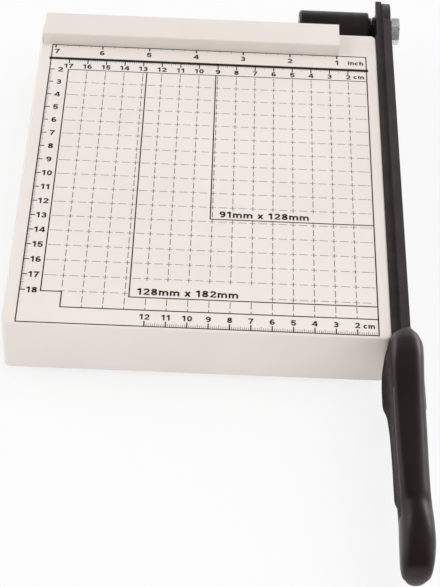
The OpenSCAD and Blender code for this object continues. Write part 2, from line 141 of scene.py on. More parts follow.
def turned(name, profile, base, axis, material, sides=48):
    """A closed turned piece: (distance along the axis, radius) pairs in millimetres from a base point."""
    axis = Vector(axis).normalized()
    side = axis.orthogonal().normalized()
    across = axis.cross(side)
    points, rings = [], []
    for along, radius in profile:
        centre = base + axis * along * MM
        if radius == 0:
            rings.append([len(points)])
            points.append(centre)
            continue
        rings.append(list(range(len(points), len(points) + sides)))
        for k in range(sides):
            a = math.tau * k / sides
            points.append(centre + (side * math.cos(a) + across * math.sin(a)) * radius * MM)
    faces = []
    for a, b in zip(rings, rings[1:]):
        for k in range(sides):
            n = (k + 1) % sides
            quad = [a[k % len(a)], a[n % len(a)], b[n % len(b)], b[k % len(b)]]
            faces.append(tuple(dict.fromkeys(quad)))
    return new_mesh(name, points, faces, material)


def stand_for(piece, node, body):
    """The piece takes a solid's place and the body that it moves with."""
    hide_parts(node)
    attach(piece, body)


# Nodes


def add_node(tree, kind, feeds=(), **settings):
    """A new node with its settings, and its inputs linked to sockets or set to values."""
    node = tree.nodes.new(kind)
    for key, value in settings.items():
        setattr(node, key, value)
    for target, source in dict(feeds).items():
        if hasattr(source, "is_output"):
            tree.links.new(source, node.inputs[target])
        else:
            node.inputs[target].default_value = source
    return node


# Materials

# How rough the noise is, and where on it the darker and the lighter tone of the patches lie
NOISE_GRAIN, TONE_ENDS = 0.55, (0.35, 0.65)


class Finish:
    """A node material with one Principled shader, patterned in the object's own coordinates."""

    def __init__(self, name, **constants):
        self.material = bpy.data.materials.new(name)
        self.material.use_nodes = True
        self.tree = self.material.node_tree
        self.shader = self.tree.nodes["Principled BSDF"]
        for socket, value in constants.items():
            self.shader.inputs[socket.replace("_", " ")].default_value = value
        self.place = self.add("ShaderNodeTexCoord").outputs["Object"]

    def add(self, kind, feeds=(), **settings):
        return add_node(self.tree, kind, feeds, **settings)

    def set(self, socket, output):
        """Feeds one of the shader's sockets."""
        self.tree.links.new(output, self.shader.inputs[socket])

    def fed(self, socket):
        """What feeds one of the shader's sockets so far."""
        return self.shader.inputs[socket].links[0].from_socket

    def stretched(self, scale):
        """The object's coordinates, scaled differently along each axis."""
        return self.add("ShaderNodeMapping", {"Scale": scale, "Vector": self.place}).outputs["Vector"]

    def axes(self):
        """The object's coordinates one by one, as X, Y and Z."""
        return self.add("ShaderNodeSeparateXYZ", {"Vector": self.place}).outputs

    def noise(self, scale, detail, place=None):
        """Cloudy noise; the scale is patches per metre."""
        feeds = {"Scale": scale, "Detail": detail, "Roughness": NOISE_GRAIN, "Vector": place or self.place}
        return self.add("ShaderNodeTexNoise", feeds).outputs["Fac"]

    def tones(self, value, low, high):
        """A value spread between two colours or two numbers."""
        node = self.add("ShaderNodeValToRGB", {"Fac": value})
        for stop, at, tone in zip(node.color_ramp.elements, TONE_ENDS, (low, high)):
            stop.position = at
            stop.color = (tone, tone, tone, 1.0) if isinstance(tone, float) else (*tone, 1.0)
        return node.outputs["Color"]

    def patches(self, scale, detail, low, high):
        """Cloudy patches between two colours or two numbers."""
        return self.tones(self.noise(scale, detail), low, high)

    def math(self, operation, *values):
        """A sum of values and sockets."""
        return self.add("ShaderNodeMath", dict(enumerate(values)), operation=operation).outputs["Value"]

    def mix(self, share, first, second):
        """Two colours blended by a share; 6, 7 and 2 are the Mix node's sockets for colours."""
        return self.add("ShaderNodeMix", {0: share, 6: first, 7: second}, data_type="RGBA").outputs[2]

    def relief(self, *layers):
        """Bumps, one kind on the other: the scale, the detail and the depth in millimetres of each."""
        below = {}
        for scale, detail, depth in layers:
            feeds = {"Strength": 1.0, "Distance": depth * MM, "Height": self.noise(scale, detail)}
            below = {"Normal": self.add("ShaderNodeBump", feeds | below).outputs["Normal"]}
            self.set("Normal", below["Normal"])


# Colours: the darker and the lighter tone of each finish
BOARD_TONES = (0.818, 0.748, 0.694), (0.846, 0.776, 0.726)
# The stop has the board's cream paint; its tones are a few percent darker, as painted shade that dims the
# stop
STOP_SHADED_TONES = (0.784, 0.719, 0.666), (0.810, 0.745, 0.696)
# The arm and the bed knife have one black paint; the arm's tones are darker, as painted shade that offsets
# the stronger light on its top
ARM_SHADED_TONES = (0.027, 0.0205, 0.0212), (0.037, 0.0285, 0.0292)
BED_TONES = (0.031, 0.0220, 0.0220), (0.044, 0.0325, 0.0320)
CUP_TONES = (0.010, 0.0074, 0.0072), (0.016, 0.0120, 0.0118)
GROUND_TONES = (0.46, 0.46, 0.47), (0.66, 0.66, 0.67)
GRIP_TONES = (0.0090, 0.0054, 0.0056), (0.0130, 0.0082, 0.0084)
WALL_TONES = (0.0180, 0.0120, 0.0115), (0.0280, 0.0195, 0.0185)
ZINC_TONES = (0.60, 0.61, 0.62), (0.82, 0.82, 0.81)
SPRING_TONES = (0.016, 0.015, 0.015), (0.040, 0.037, 0.036)
RUBBER_TONES = (0.020, 0.020, 0.021), (0.034, 0.033, 0.033)
DARK_INK_TONES = (0.013, 0.010, 0.009), (0.024, 0.019, 0.017)
GRID_INK_TONES = (0.060, 0.052, 0.050), (0.110, 0.098, 0.094)
PALE_INK_TONES = (0.190, 0.170, 0.162), (0.260, 0.236, 0.225)
# Tint of the grip's gloss
GRIP_SHINE = (1.0, 0.78, 0.80, 1.0)


def coat(name, colours, spots, gloss, haze, *bumps, **constants):
    """A finish with patches of colour and of roughness; spots and haze are their scale and detail."""
    f = Finish(name, **constants)
    f.set("Base Color", f.patches(*spots, *colours))
    f.set("Roughness", f.patches(*haze, *gloss))
    f.relief(*bumps)
    return f


def cream_paint(name, colours):
    """Smooth semi-gloss cream paint on sheet steel, with a faint orange peel."""
    peel = (900.0, 2.0, 0.012), (60.0, 1.0, 0.02)
    return coat(name, colours, (22.0, 3.0), (0.36, 0.46), (90.0, 3.0), *peel).material


def black_paint(name, colours):
    """Satin black paint on steel: a thin coat with fine grain and rubbed spots."""
    return coat(name, colours, (70.0, 5.0), (0.34, 0.50), (160.0, 4.0), (1400.0, 3.0, 0.012),
                Specular_IOR_Level=0.4)


# Grinding lines on bare steel: patches per metre along x, y and z
GRINDING = (300.0, 2600.0, 120.0)


def with_ground_steel(f, bare):
    """A painted finish with bare ground steel where the share is 1."""
    lines = f.noise(1.0, 4.0, f.stretched(GRINDING))
    f.set("Base Color", f.mix(bare, f.fed("Base Color"), f.tones(lines, *GROUND_TONES)))
    f.set("Roughness", f.mix(bare, f.fed("Roughness"), f.tones(lines, 0.22, 0.40)))
    f.set("Metallic", bare)
    return f.material


# The arm's ground bevel: (y, z) of the cutting edge at the heel and at the front, the bevel's height, and
# how far its upper line wanders
HEEL_EDGE, FRONT_EDGE, BEVEL_HIGH, BEVEL_WANDER = (19.1, -20.0), (-202.0, -13.0), 8.0, 0.5
# The bed knife's ground strip: its height below the board's top, and its depth in from the outer face
BED_GROUND_HIGH, BED_GROUND_DEEP = 4.0, 0.06


def arm_paint():
    """Black paint with the cutting bevel ground bare."""
    # The arm's darker black is painted shade; the bed knife has the same paint
    f = black_paint("arm_paint", ARM_SHADED_TONES)
    at = f.axes()
    slant = (FRONT_EDGE[1] - HEEL_EDGE[1]) / (FRONT_EDGE[0] - HEEL_EDGE[0])
    heel = spot(0.0, *HEEL_EDGE)
    line = f.math("MULTIPLY_ADD", at["Y"], slant, heel.z + BEVEL_HIGH * MM - slant * heel.y)
    wander = f.math("MULTIPLY_ADD", f.noise(220.0, 2.0), BEVEL_WANDER * MM, line)
    below = f.math("LESS_THAN", at["Z"], wander)
    past_front = f.math("GREATER_THAN", at["Y"], spot(0.0, FRONT_EDGE[0]).y)
    before_heel = f.math("LESS_THAN", at["Y"], spot(0.0, HEEL_EDGE[0] - BEVEL_HIGH).y)
    return with_ground_steel(f, f.math("MULTIPLY", below, f.math("MULTIPLY", past_front, before_heel)))


def bed_paint():
    """Black paint with the fixed cutting edge ground bare."""
    f = black_paint("bed_paint", BED_TONES)
    at = f.axes()
    outer = f.math("GREATER_THAN", at["X"], spot(-BED_GROUND_DEEP, 0.0).x)
    high = f.math("GREATER_THAN", at["Z"], spot(0.0, 0.0, -BED_GROUND_HIGH).z)
    return with_ground_steel(f, f.math("MULTIPLY", outer, high))


def zinc_plating(name, **constants):
    """Bright zinc plating: pale, with cloudy patches and fine turning marks."""
    return coat(name, ZINC_TONES, (260.0, 5.0), (0.20, 0.36), (700.0, 4.0), (2600.0, 2.0, 0.006),
                **constants)


# How metallic the plating on the bolt's head is
BOLT_METALLIC = 0.7


def bolt_steel():
    """Zinc plating on the bolt's head; its shank has the cup's dark colour and no metal, as painted shade in
    the gap between the cup and the seat washer.
    """
    f = zinc_plating("bolt_steel")
    head_part = f.math("GREATER_THAN", f.axes()["X"], spot(0.0, 0.0).x)
    # Painted shade: the shank takes the cup's dark black, so the gap by the spring reads dark
    f.set("Base Color", f.mix(head_part, f.patches(500.0, 4.0, *CUP_TONES), f.fed("Base Color")))
    f.set("Metallic", f.math("MULTIPLY", head_part, BOLT_METALLIC))
    return f.material


def ink(name, colours):
    """Screen-printed ink: a slightly uneven film."""
    return coat(name, colours, (500.0, 4.0), (0.42, 0.56), (800.0, 3.0), Specular_IOR_Level=0.25).material


# Brown-black moulded plastic, polished by hands, with faint sink marks and handling haze
GRIP = coat("grip_plastic", GRIP_TONES, (40.0, 4.0), (0.31, 0.41), (120.0, 5.0), (1100.0, 3.0, 0.006),
            (45.0, 1.0, 0.04), Specular_IOR_Level=0.42, Specular_Tint=GRIP_SHINE).material
# The same plastic below the parting line, as dull as it left the mould
GRIP_WALLS = coat("grip_walls", WALL_TONES, (60.0, 4.0), (0.60, 0.74), (300.0, 5.0), (1500.0, 3.0, 0.010),
                  (45.0, 1.0, 0.04), Specular_IOR_Level=0.12).material
# Blackened, oiled spring steel, and matt dark rubber with a coarse skin
SPRING_STEEL = coat("black_steel", SPRING_TONES, (400.0, 4.0), (0.28, 0.44), (900.0, 3.0),
                    Metallic=0.6).material
RUBBER = coat("foot_rubber", RUBBER_TONES, (300.0, 4.0), (0.70, 0.88), (500.0, 3.0),
              (1800.0, 4.0, 0.03)).material
ZINC = zinc_plating("zinc_steel", Metallic=1.0).material
DARK_INK = ink("dark_ink", DARK_INK_TONES)
GRID_INK = ink("grid_ink", GRID_INK_TONES)
PALE_INK = ink("pale_ink", PALE_INK_TONES)

# Finishes of the solids that show as they are
SOLID_FINISHES = {
    "base_board": cream_paint("board_paint", BOARD_TONES),
    # the stop's darker cream is painted shade on the board's paint
    "paper_stop": cream_paint("stop_paint", STOP_SHADED_TONES),
    "bed_knife": bed_paint(),
    "knife_arm": arm_paint(),
    "spring_cup": black_paint("cup_paint", CUP_TONES).material,
    "pivot_bolt": bolt_steel(),
    "seat_washer": SPRING_STEEL,
}
FEET = "foot_front_left", "foot_front_right", "foot_rear_left", "foot_rear_right"
SOLID_FINISHES |= dict.fromkeys(("head_washer", "lock_nut", "bed_knife_washers", "bed_knife_nuts"), ZINC)
SOLID_FINISHES |= dict.fromkeys(FEET, RUBBER)
for name, material in SOLID_FINISHES.items():
    nodes[name].data.materials.clear()
    nodes[name].data.materials.append(material)


# Geometry Nodes: trees for what repeats


class Tree:
    """A Geometry Nodes tree with named inputs, run once on an empty object."""

    def __init__(self, name, **sockets):
        self.tree = bpy.data.node_groups.new(name, "GeometryNodeTree")
        self.sockets = {}
        for label, kind in sockets.items():
            made = self.tree.interface.new_socket(label, in_out="INPUT", socket_type="NodeSocket" + kind)
            self.sockets[label] = made.identifier
        self.tree.interface.new_socket("Geometry", in_out="OUTPUT", socket_type="NodeSocketGeometry")
        self.inputs = self.tree.nodes.new("NodeGroupInput").outputs

    def add(self, kind, feeds=(), **settings):
        return add_node(self.tree, kind, feeds, **settings)

    def math(self, operation, a, b):
        """A sum of two values or sockets."""
        return self.add("ShaderNodeMath", {0: a, 1: b}, operation=operation).outputs[0]

    def line(self, count, step, first=(0.0, 0.0, 0.0)):
        """Points in a straight row."""
        feeds = {"Count": count, "Offset": step, "Start Location": first}
        return self.add("GeometryNodeMeshLine", feeds).outputs[0]

    def copies(self, points, one):
        """A copy of one thing on each point."""
        feeds = {"Points": points, "Instance": one}
        return self.add("GeometryNodeInstanceOnPoints", feeds).outputs[0]

    def real(self, copies):
        """Copies made into plain geometry."""
        return self.add("GeometryNodeRealizeInstances", {"Geometry": copies}).outputs[0]

    def end(self, geometry, material):
        """Realize Instances and Set Material, then out."""
        feeds = {"Geometry": self.real(geometry), "Material": material}
        self.add("NodeGroupOutput", {0: self.add("GeometryNodeSetMaterial", feeds).outputs[0]})
        return self

    def run(self, name, **values):
        """A plain mesh object made by the tree."""
        obj = new_object(name, bpy.data.meshes.new(name))
        step = obj.modifiers.new("tree", "NODES")
        step.node_group = self.tree
        for label, value in values.items():
            step[self.sockets[label]] = value
        return settle(obj, name)


def marks_tree():
    """Rows and columns of small flat bars, for ticks and dashes."""
    t = Tree("rows_of_marks", Columns="Int", Rows="Int", First="Vector", Column_Step="Vector",
             Row_Step="Vector", Mark_Size="Vector", Ink="Material")
    i = t.inputs
    row = t.line(i["Columns"], i["Column_Step"], i["First"])
    column = t.line(i["Rows"], i["Row_Step"])
    bar = t.add("GeometryNodeMeshCube", {"Size": i["Mark_Size"]}).outputs[0]
    return t.end(t.copies(t.real(t.copies(row, column)), bar), i["Ink"])


def row_tree():
    """Copies of one fastener along a line, the first where it was made."""
    t = Tree("row_of_fasteners", Fastener="Object", Count="Int", Step="Vector", Finish="Material")
    i = t.inputs
    one = t.add("GeometryNodeObjectInfo", {"Object": i["Fastener"]}).outputs["Geometry"]
    return t.end(t.copies(t.line(i["Count"], i["Step"]), one), i["Finish"])


MARKS, FASTENERS = marks_tree(), row_tree()


# Print on the board. u runs left from the knives' plane and v forward from the scale's zero line. Places
# and sizes of the print are in centimetres, but the ink's depth and height are in millimetres.
CM = 10.0
INK_SUNK, INK_HIGH, GRID_HIGH = 0.05, 0.030, 0.022
BORDER_LEFT, BORDER_RIGHT, BORDER_TOP, BORDER_FRONT = 18.0, 1.0, -0.03, 20.03
THICK_LINE, CM_LINE = 1.09, 1.98
FRAME_LEFT, FRAME_FRONT, STEP_FRONT, STEP_LEFT = 17.0, 19.02, 18.04, 16.0
LINE, THIN_LINE, BOLD_LINE, TICK, FINE_TICK = 0.061, 0.050, 0.192, 0.060, 0.022
# Sheets: size as text, left front corner of the outline, and the left end of the text's middle line
SHEETS = [("91mm x 128mm", (9.1, 12.82), (8.66, 12.46)), ("128mm x 182mm", (12.8, 18.22), (12.44, 17.84))]


def on_board(u, v, high=0.0):
    """A point of the print, at a height in millimetres."""
    return spot(-CM * u, -CM * v, high)


def strip(start, end, width):
    """Opposite corners of a printed line between two points, along u or v, with square ends."""
    (u0, v0), (u1, v1) = start, end
    half = width / 2
    low = on_board(max(u0, u1) + half, max(v0, v1) + half, -INK_SUNK)
    high = on_board(min(u0, u1) - half, min(v0, v1) - half, INK_HIGH)
    return low, high


def printed_lines():
    """Border, thick line, inner frame and the outlines of the sheets."""
    left, right, top, front = BORDER_LEFT, BORDER_RIGHT, BORDER_TOP, BORDER_FRONT
    runs = [
        ([(left, top), (right, top), (right, front), (left, front), (left, top)], LINE),
        ([(left, THICK_LINE), (right, THICK_LINE)], BOLD_LINE),
        ([(FRAME_LEFT, CM_LINE), (right, CM_LINE)], THIN_LINE),
        ([(FRAME_LEFT, CM_LINE), (FRAME_LEFT, STEP_FRONT), (STEP_LEFT, STEP_FRONT), (STEP_LEFT, FRAME_FRONT),
          (right, FRAME_FRONT)], LINE),
    ]
    runs += [([(u, CM_LINE), (u, v), (right, v)], LINE) for _, (u, v), _ in SHEETS]
    points, faces = [], []
    for corners, width in runs:
        for start, end in zip(corners, corners[1:]):
            more, quads = box_parts(*strip(start, end, width), start=len(points))
            points += more
            faces += quads
    return new_mesh("printed_lines", points, faces, DARK_INK)


def marks(first, columns, step, size, rows, row_step, high, material):
    """Flat bars on the board: the first one's centre, the steps and the size are (u, v) pairs."""
    cm = CM * MM
    return MARKS.run(
        "marks", Columns=columns, Rows=rows, First=tuple(on_board(*first, (high - INK_SUNK) / 2)),
        Column_Step=(-step[0] * cm, -step[1] * cm, 0.0),
        Row_Step=(-row_step[0] * cm, -row_step[1] * cm, 0.0),
        Mark_Size=(size[0] * cm, size[1] * cm, (high + INK_SUNK) * MM), Ink=material)


# Inch row: the inch, the row's shift off the knives' plane, its count, and its ticks' lengths and width
INCH, INCH_SHIFT, INCHES = 2.54, 0.045, 7
INCH_TICK, QUARTER_TICK, INCH_TICK_WIDE = 0.24, 0.13, 0.075
# Rulers: the last centimetre, and the lengths of the ticks for centimetres, halves and millimetres
REAR_LAST, REAR_TICKS = 17, (0.38, 0.24, 0.18)
FRONT_LAST, FRONT_TICKS = 12, (0.34, 0.24, 0.18)
LEFT_LAST, LEFT_TICKS = 18, (0.27, 0.17, 0.12)
# The first whole centimetre on all rulers
FIRST_CM = 2
# Fine ticks within a centimetre: place of the first, count, step, and which of the lengths they have
FINE_TICKS = [(0.5, 1, 0.0, 1), (0.1, 4, 0.1, 2), (0.6, 4, 0.1, 2)]


def hanging(first, count, top, length, step=1.0, width=TICK, groups=1, group_step=1.0, material=DARK_INK):
    """Ticks along u that hang from a line at v = top; the count repeats in groups."""
    return marks((first, top + length / 2), count, (step, 0.0), (width, length), groups, (group_step, 0.0),
                 INK_HIGH, material)


def standing(first, count, length, step=1.0, width=TICK, groups=1, material=DARK_INK):
    """Ticks along v that stand inwards from the left border; the count repeats in groups."""
    return marks((BORDER_LEFT - length / 2, first), count, (0.0, step), (length, width), groups, (0.0, 1.0),
                 INK_HIGH, material)


def printed_ticks():
    """Long ticks of the inch row, the rear row, the front ruler and the left ruler."""
    rear, front, left = REAR_TICKS[0], FRONT_TICKS[0], LEFT_TICKS[0]
    return join("printed_ticks", [
        hanging(INCH + INCH_SHIFT, INCHES, BORDER_TOP, INCH_TICK, step=INCH, width=INCH_TICK_WIDE),
        hanging(FIRST_CM, REAR_LAST - FIRST_CM + 1, THICK_LINE, rear),
        hanging(FIRST_CM, FRONT_LAST - FIRST_CM + 1, BORDER_FRONT - front, front),
        standing(FIRST_CM, LEFT_LAST - FIRST_CM + 1, left),
    ], DARK_INK)


def printed_fine_ticks():
    """Quarter inches, half centimetres and millimetres."""
    fine = {"width": FINE_TICK, "material": GRID_INK}
    made = [hanging(INCH * 1.25 + INCH_SHIFT, 3, BORDER_TOP, QUARTER_TICK, step=INCH / 4,
                    groups=INCHES - 1, group_step=INCH, **fine)]
    for place, count, step, kind in FINE_TICKS:
        rear, front, left = REAR_TICKS[kind], FRONT_TICKS[kind], LEFT_TICKS[kind]
        first_u, first_v = BORDER_RIGHT + place, FIRST_CM + place
        made += [
            hanging(first_u, count, THICK_LINE, rear, step, groups=REAR_LAST - 1, **fine),
            hanging(first_u, count, BORDER_FRONT - front, front, step, groups=FRONT_LAST - 1, **fine),
            standing(first_v, count, left, step, groups=LEFT_LAST - FIRST_CM, **fine),
        ]
    return join("printed_fine_ticks", made, GRID_INK)


# Dashed centimetre grid: short dashes on the crossings, longer ones halfway between them, and end dashes
CROSSING_DASH, MIDWAY_DASH, END_DASH, DASH_WIDE, HALF = 0.30, 0.42, 0.17, 0.034, 0.5
# Upright dashes, clear of the sheets' sizes, by first u, columns, first v and rows half a centimetre apart
UPRIGHT = [
    (2.0, 2, 2.5, 33), (4.0, 3, 2.5, 20), (4.0, 3, 13.0, 12), (7.0, 2, 2.5, 20), (7.0, 2, 13.0, 9),
    (7.0, 6, 18.5, 1), (9.0, 4, 2.5, 30), (13.0, 3, 2.5, 33), (16.0, 1, 2.5, 31),
]
# End dashes of the upright rows, by v and columns
UPRIGHT_ENDS = [(CM_LINE + END_DASH, 15), (FRAME_FRONT - END_DASH / 2, 14)]
# Cross dashes, by first u, columns half a centimetre apart, first v and rows; the first have end dashes
CROSS = [(1.5, 31, 3.0, 15), (1.5, 10, 18.0, 1), (13.0, 7, 18.0, 1)]


def dashes(first, columns, rows, size, material, step=1.0):
    """A field of dashes, a centimetre apart unless the columns have another step."""
    return marks(first, columns, (step, 0.0), size, rows, (0.0, 1.0), GRID_HIGH, material)


def alternating(first, count):
    """Long and short dashes in turn: for each kind its length, its first place and its count."""
    for start in (first, first + HALF):
        length = CROSSING_DASH if start == round(start) else MIDWAY_DASH
        number = count - count // 2 if start == first else count // 2
        if number:
            yield length, start, number


def printed_grid():
    """The upright dashes."""
    made = []
    for u, columns, first, count in UPRIGHT:
        for length, v, rows in alternating(first, count):
            made.append(dashes((u, v), columns, rows, (DASH_WIDE, length), GRID_INK))
    for v, columns in UPRIGHT_ENDS:
        made.append(dashes((FIRST_CM, v), columns, 1, (DASH_WIDE, END_DASH), GRID_INK))
    return join("printed_grid", made, GRID_INK)


def printed_cross_grid():
    """The dashes across the board, in a paler ink."""
    made = []
    for first, count, v, rows in CROSS:
        for length, u, columns in alternating(first, count):
            made.append(dashes((u, v), columns, rows, (length, DASH_WIDE), PALE_INK))
    _, _, first_v, rows = CROSS[0]
    reach = FRAME_LEFT - BORDER_RIGHT - 2 * END_DASH
    made.append(dashes((BORDER_RIGHT + END_DASH, first_v), 2, rows, (END_DASH, DASH_WIDE), PALE_INK, reach))
    return join("printed_cross_grid", made, PALE_INK)


# Figures drawn with strokes. Each stroke is a list of (x, y) along its middle line; the figure is 1 high.
FIGURE_WIDE, STROKE, FIGURE_GAP = 0.66, 0.22, 0.13
EDGE_L, EDGE_R, EDGE_B, EDGE_T = STROKE / 2, FIGURE_WIDE - STROKE / 2, STROKE / 2, 1 - STROKE / 2
MID, BOWL = FIGURE_WIDE / 2, (FIGURE_WIDE - STROKE) / 2
# Height of the low letters
LOW_X = 0.74
# Largest turn between the points of an arc, in degrees
ARC_STEP = 22.5


def arc(x, y, rx, ry, start, end):
    """Points along part of an ellipse, from one angle in degrees to another."""
    count = max(4, round(abs(end - start) / ARC_STEP))
    turns = [math.radians(start + (end - start) * k / count) for k in range(count + 1)]
    return [(x + rx * math.cos(a), y + ry * math.sin(a)) for a in turns]


def arch(x, wide):
    """One arch of an n: from the stem over to the right leg."""
    r = (wide - STROKE) / 2
    return arc(x + STROKE / 2 + r, LOW_X - STROKE / 2 - r, r, r, 160, 0) + [(x + wide - STROKE / 2, 0)]


STEM = [(STROKE / 2, LOW_X), (STROKE / 2, 0.0)]
TALL_STEM = [(STROKE / 2, 1.0), (STROKE / 2, 0.0)]
# Each figure's width and strokes
FIGURES = {
    "0": (FIGURE_WIDE, [arc(MID, 0.5, BOWL, 0.5 - STROKE / 2, 0, 360)]),
    "1": (0.50, [[(0.02, 0.76), (0.20, 0.80), (0.30, 0.97)], [(0.33, 1.0), (0.33, 0.0)]]),
    "2": (FIGURE_WIDE, [arc(MID, EDGE_T - 0.22, BOWL, 0.22, 172, -25)
                        + [(EDGE_L, EDGE_B), (FIGURE_WIDE, EDGE_B)]]),
    "3": (FIGURE_WIDE, [arc(MID - 0.02, EDGE_T - 0.19, BOWL - 0.03, 0.19, 165, -90) + [(MID - 0.10, 0.525)],
                        arc(MID - 0.02, EDGE_B + 0.215, BOWL, 0.215, 90, -165)]),
    "4": (0.70, [[(0.70, 0.30), (0.06, 0.30), (0.46, 0.98)], [(0.50, 1.0), (0.50, 0.0)]]),
    "5": (FIGURE_WIDE, [[(EDGE_R + 0.05, EDGE_T), (EDGE_L + 0.05, EDGE_T), (EDGE_L, 0.50)]
                        + arc(MID - 0.01, 0.335, BOWL, 0.24, 130, -160)]),
    "6": (FIGURE_WIDE, [arc(MID, 0.31, BOWL, 0.31 - STROKE / 2, 0, 360),
                        arc(MID + 0.01, 0.52, BOWL + 0.01, EDGE_T - 0.52, 50, 200)]),
    "7": (FIGURE_WIDE, [[(0.0, EDGE_T), (EDGE_R, EDGE_T), (MID + 0.02, 0.45), (MID - 0.10, 0.0)]]),
    "8": (FIGURE_WIDE, [arc(MID, 0.74, BOWL - 0.03, 0.26 - STROKE / 2, 0, 360),
                        arc(MID, 0.29, BOWL, 0.29 - STROKE / 2, 0, 360)]),
    "9": (FIGURE_WIDE, [arc(MID, 0.69, BOWL, 0.31 - STROKE / 2, 0, 360),
                        arc(MID - 0.01, 0.48, BOWL + 0.01, 0.48 - STROKE / 2, 20, -130)]),
    "c": (0.62, [arc(0.32, LOW_X / 2, 0.23, (LOW_X - STROKE) / 2, 45, 315)]),
    "h": (0.62, [TALL_STEM, arch(0.0, 0.62)]),
    "i": (0.24, [STEM, [(STROKE / 2, 1.0), (STROKE / 2, 0.85)]]),
    "m": (0.98, [STEM, arch(0.0, 0.57), arch(0.41, 0.57)]),
    "n": (0.62, [STEM, arch(0.0, 0.62)]),
    "x": (0.62, [[(0.08, LOW_X), (0.54, 0.0)], [(0.54, LOW_X), (0.08, 0.0)]]),
    " ": (0.26, []),
}
# Limit on how far a stroke's corner is drawn out, and the distance at which a path counts as closed
MITRE_LIMIT, SAME_PLACE = 0.6, 1e-9


def ribbon(path, width, low, high, start):
    """Points and faces of one stroke: a flat band along a path, closed if the path comes back."""
    closed = math.dist(path[0], path[-1]) < SAME_PLACE
    if closed:
        path = path[:-1]
    count, points = len(path), []
    for k, here in enumerate(path):
        back = path[k - 1] if closed or k else None
        ahead = path[(k + 1) % count] if closed or k + 1 < count else None
        lines = [(Vector(b) - Vector(a)).normalized() for a, b in ((back, here), (here, ahead)) if a and b]
        along = sum(lines, Vector((0.0, 0.0))).normalized()
        across = Vector((-along.y, along.x)) * (width / 2) / max(along.dot(lines[0]), MITRE_LIMIT)
        for side in (across, -across):
            x, y = here[0] + side.x, here[1] + side.y
            points += [(x, y, high), (x, y, low)]
    faces = []
    for k in range(count if closed else count - 1):
        a, b = start + 4 * k, start + 4 * ((k + 1) % count)
        faces += [(a, a + 2, b + 2, b), (a + 1, b + 1, b + 3, a + 3)]
        faces += [(a, b, b + 1, a + 1), (a + 2, a + 3, b + 3, b + 2)]
    if not closed:
        end = start + 4 * (count - 1)
        faces += [(start, start + 1, start + 3, start + 2), (end, end + 2, end + 3, end + 1)]
    return points, faces


# How much wider than their drawing the numbers, the units and the sheets' sizes are
NUMBER_STRETCH, UNIT_STRETCH, SHEET_STRETCH = 1.12, 1.0, 1.14


def figures(text, place, height, stretch=NUMBER_STRETCH, centred=True):
    """Strokes of a line of figures, as paths with a width; its middle or its left end lies at (u, v)."""
    advance = [FIGURES[letter][0] * stretch + FIGURE_GAP for letter in text]
    x = -(sum(advance) - FIGURE_GAP) / 2 if centred else 0.0
    size = height * CM
    corner = local(on_board(*place))
    strokes = []
    for letter, step in zip(text, advance):
        for stroke in FIGURES[letter][1]:
            path = [(x + px * stretch, py - 0.5) for px, py in stroke]
            path = [(corner.x + px * size, corner.y + py * size) for px, py in path]
            strokes.append((path, STROKE * size))
        x += step
    return strokes


# Numbers on the rulers: their middle line, in v or for the left ruler in u, and their height
INCH_ROW, REAR_ROW, LEFT_COLUMN, FRONT_ROW = (0.52, 0.36), (1.69, 0.345), (17.42, 0.37), (19.44, 0.34)
# The last inch's number lies beside its tick, clear of the border
LAST_INCH = (17.72, 0.50)
UNITS = [("inch", (1.57, 0.50), 0.33), ("cm", (1.43, 1.64), 0.33), ("cm", (1.45, 19.46), 0.31)]
SHEET_HIGH = 0.42


def printed_figures():
    """Numbers and units of the scales, and the sheets' sizes in millimetres."""
    lines = [(str(n), (INCH * n + INCH_SHIFT, INCH_ROW[0]), INCH_ROW[1]) for n in range(1, INCHES)]
    lines += [(str(INCHES), LAST_INCH, INCH_ROW[1])]
    lines += [(str(n), (n, REAR_ROW[0]), REAR_ROW[1]) for n in range(FIRST_CM, REAR_LAST + 1)]
    lines += [(str(n), (LEFT_COLUMN[0], n), LEFT_COLUMN[1]) for n in range(FIRST_CM, LEFT_LAST + 1)]
    lines += [(str(n), (n, FRONT_ROW[0]), FRONT_ROW[1]) for n in range(FIRST_CM, FRONT_LAST + 1)]
    lines += [(*unit, UNIT_STRETCH) for unit in UNITS]
    lines += [(text, place, SHEET_HIGH, SHEET_STRETCH, False) for text, _, place in SHEETS]
    points, faces = [], []
    for line in lines:
        for path, width in figures(*line):
            more, quads = ribbon(path, width, -INK_SUNK, INK_HIGH, len(points))
            points += [spot(*p) for p in more]
            faces += quads
    return new_mesh("printed_figures", points, faces, DARK_INK)


for piece in (printed_lines(), printed_ticks(), printed_fine_ticks(), printed_grid(), printed_cross_grid(),
              printed_figures()):
    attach(piece, "base")


